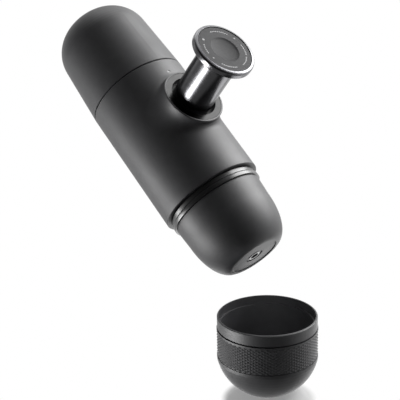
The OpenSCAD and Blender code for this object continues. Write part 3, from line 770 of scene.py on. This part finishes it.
def dial_marks():
    """Plain printed marks round the dial: three dots and arcs of fine ticks."""
    tick_reach, tick_gap = 12.8, 5
    dot = raised_mark("dot", 24, 0.75)
    small_dot = raised_mark("small_dot", 16, 0.5)
    tick = raised_mark("tick", 4, 0.5, 1.4, 0.3)
    tick.matrix_world = tick.matrix_world @ Matrix.Rotation(math.pi / 4, 4, "Z")
    marks = [stamp(dot, -47, 12.9), stamp(small_dot, 64, 13), stamp(small_dot, -109, 12.5)]
    for first, last in ((-4, 43), (87, 118), (128, 160), (-174, -134), (-91, -65)):
        gaps = round((last - first) / tick_gap)
        marks += [stamp(tick, first + (last - first) * i / gaps, tick_reach) for i in range(gaps + 1)]
    for source in (dot, small_dot, tick):
        bpy.data.objects.remove(source)
    piece = join(marks, "dial_marks")
    bpy.ops.object.transform_apply(location=True, rotation=True, scale=True)
    place(piece, ALONG_PUMP)
    dress(piece, "knob", INK)


# ---------------------------------------------------------------- camera, light and floor

# The camera's place in metres and the ways that the photograph's right, up and viewer lie
CAMERA_AT = Vector((0.431116, -0.393324, 0.148687))
CAMERA_RIGHT = Vector((0.701108, 0.712648, -0.024077))
CAMERA_UP = Vector((-0.203383, 0.232225, 0.951161))
CAMERA_BACK = Vector((0.683435, -0.661970, 0.307755))


def set_camera():
    """The photograph's own camera."""
    camera = bpy.data.objects.new("camera", bpy.data.cameras.new("camera"))
    bpy.context.scene.collection.objects.link(camera)
    turn = Matrix((CAMERA_RIGHT, CAMERA_UP, CAMERA_BACK)).transposed().to_4x4()
    camera.matrix_world = Matrix.Translation(CAMERA_AT) @ turn
    camera.data.sensor_width = 36
    camera.data.lens = 93.457
    camera.data.clip_start = 0.01
    camera.data.clip_end = 20
    bpy.context.scene.camera = camera


def softbox(name, right, up, back, width, height, power, aim=(0.02, 0, -0.03), beam=180):
    """A soft light, so many metres right, up and back from the object as the camera sees it."""
    data = bpy.data.lights.new(name, "AREA")
    data.shape = "RECTANGLE"
    data.size = width
    data.size_y = height
    data.energy = power
    data.spread = math.radians(beam)
    light = bpy.data.objects.new(name, data)
    light.visible_camera = False
    bpy.context.scene.collection.objects.link(light)
    light.location = CAMERA_RIGHT * right + CAMERA_UP * up + CAMERA_BACK * back
    light.rotation_mode = "QUATERNION"
    light.rotation_quaternion = (Vector(aim) - light.location).to_track_quat("-Z", "Y")


def lamps():
    """Three studio softboxes and two small panels near the cup."""
    softbox("softbox_right", 0.58, 0.58, -0.1, 0.6, 0.6, 12)
    softbox("softbox_left", -0.67, -0.41, 0.03, 0.5, 0.24, 7)
    softbox("softbox_top", -0.14, 0.78, -0.2, 0.6, 0.4, 1.5)
    # A low panel that lies behind the cup and lights the maker's flat end, as a white table does
    softbox("table_panel", 0.075, -0.125, -0.062, 0.17, 0.13, 0.12, aim=(0.07, 0, -0.06))
    # A small one in front of the cup that shows the far side of its bowl
    softbox("bowl_panel", 0.055, -0.077, 0.064, 0.04, 0.03, 0.006, aim=(0.058, 0.018, -0.1), beam=76)


def floor_acrylic():
    """Acrylic that shows as grey in a patch under the cup and runs out into pure white: the grey patch is
    painted shade for the cup's drop shadow, and the cup's real cast shadow falls on it as well.
    """
    # The patch is a disc of painted shade, set a little towards the camera from the cup's middle, where
    # the floor shows its darker acrylic grey
    shade_patch_x, shade_patch_y = CUP_X + 9.1, -9
    shade_patch_r, shade_patch_end, shade_patch_white = 22.5, 27.5, 0.26
    new, tree, where = material("floor_acrylic_painted_shade")
    middle = (shade_patch_x * MM, shade_patch_y * MM, FLOOR_Z * MM)
    away = add(tree, "VectorMath", {0: where, 1: middle}, operation="DISTANCE").outputs["Value"]
    share = ramp(tree, away, shade_patch_r * MM, shade_patch_end * MM, shade_patch_white, 1)
    path = add(tree, "LightPath").outputs
    seen = both(tree, "MAXIMUM", path["Is Camera Ray"], path["Is Glossy Ray"])
    seen_through = both(tree, "MAXIMUM", seen, path["Is Transmission Ray"])
    # The acrylic's grey shows only in the patch, so it is painted shade there; the lamps' real shadow
    # darkens it further
    acrylic = add(tree, "BsdfPrincipled", {"Base Color": colour("#b8b8b8"), "Roughness": 0.12,
                                           "IOR": 1.49})
    white = add(tree, "Emission", {"Color": (1, 1, 1, 1), "Strength": 1.0})
    mix = add(tree, "MixShader", {0: both(tree, "MULTIPLY", seen_through, share),
                                  1: acrylic.outputs["BSDF"], 2: white.outputs["Emission"]})
    add(tree, "OutputMaterial", {"Surface": mix.outputs["Shader"]})
    return new


def floor():
    """A plain pale floor that keeps the cup's real shadow, inside a disc of painted shade under the cup.
    """
    deselect()
    bpy.ops.mesh.primitive_grid_add(x_subdivisions=8, y_subdivisions=8, size=8, location=(0, 0, 0))
    piece = bpy.context.object
    piece.name = piece.data.name = "floor"
    place(piece, Matrix.Translation((0, 0, FLOOR_Z * MM)))
    piece.data.materials.append(floor_acrylic())
    # The low lamps shine up past the floor, and what gleams shows the surroundings in its place
    piece.visible_shadow = False
    piece.visible_glossy = False


def studio():
    """White surroundings behind the object, bright sides and a dark room behind the camera."""
    world = bpy.data.worlds.new("studio")
    bpy.context.scene.world = world
    world.use_nodes = True
    tree = world.node_tree
    tree.nodes.clear()
    way = add(tree, "TexCoord").outputs["Generated"]

    def towards(axis):
        return add(tree, "VectorMath", {0: way, 1: tuple(axis)}, operation="DOT_PRODUCT").outputs["Value"]

    def glow(strength):
        return add(tree, "Background", {"Color": (1, 1, 1, 1), "Strength": strength}).outputs[0]

    def either(share, first, second):
        return add(tree, "MixShader", {0: share, 1: first, 2: second}).outputs[0]

    ahead = towards(CAMERA_BACK)
    upper_right = CAMERA_RIGHT * 0.817 + CAMERA_UP * 0.577
    beside = towards(upper_right)
    side_glow = ramp(tree, beside, 0.1, 0.7, 0.3, 1.8)
    sides = both(tree, "MULTIPLY", side_glow, ramp(tree, ahead, 0.0, 0.6, 1.0, 0.1))
    room = both(tree, "MAXIMUM", sides, ramp(tree, ahead, -0.6, -0.1, 1.0, 0.0))
    fill = ramp(tree, ahead, -0.2, 0.7, 0.55, 0.14)
    path = add(tree, "LightPath").outputs
    mirrored = both(tree, "MAXIMUM", path["Is Glossy Ray"], path["Is Transmission Ray"])
    around = either(mirrored, glow(fill), glow(room))
    add(tree, "OutputWorld", {"Surface": either(path["Is Camera Ray"], around, glow(1.0))})


# ---------------------------------------------------------------- the whole scene

finish_nodes()
body_shell()
head_shell()
ring_band()
coil_spring()
neck_threads()
cup_knurl()
bezel_rim()
dial_face()
dial_marks()
set_camera()
lamps()
floor()
studio()
bpy.context.scene.view_settings.view_transform = "Standard"
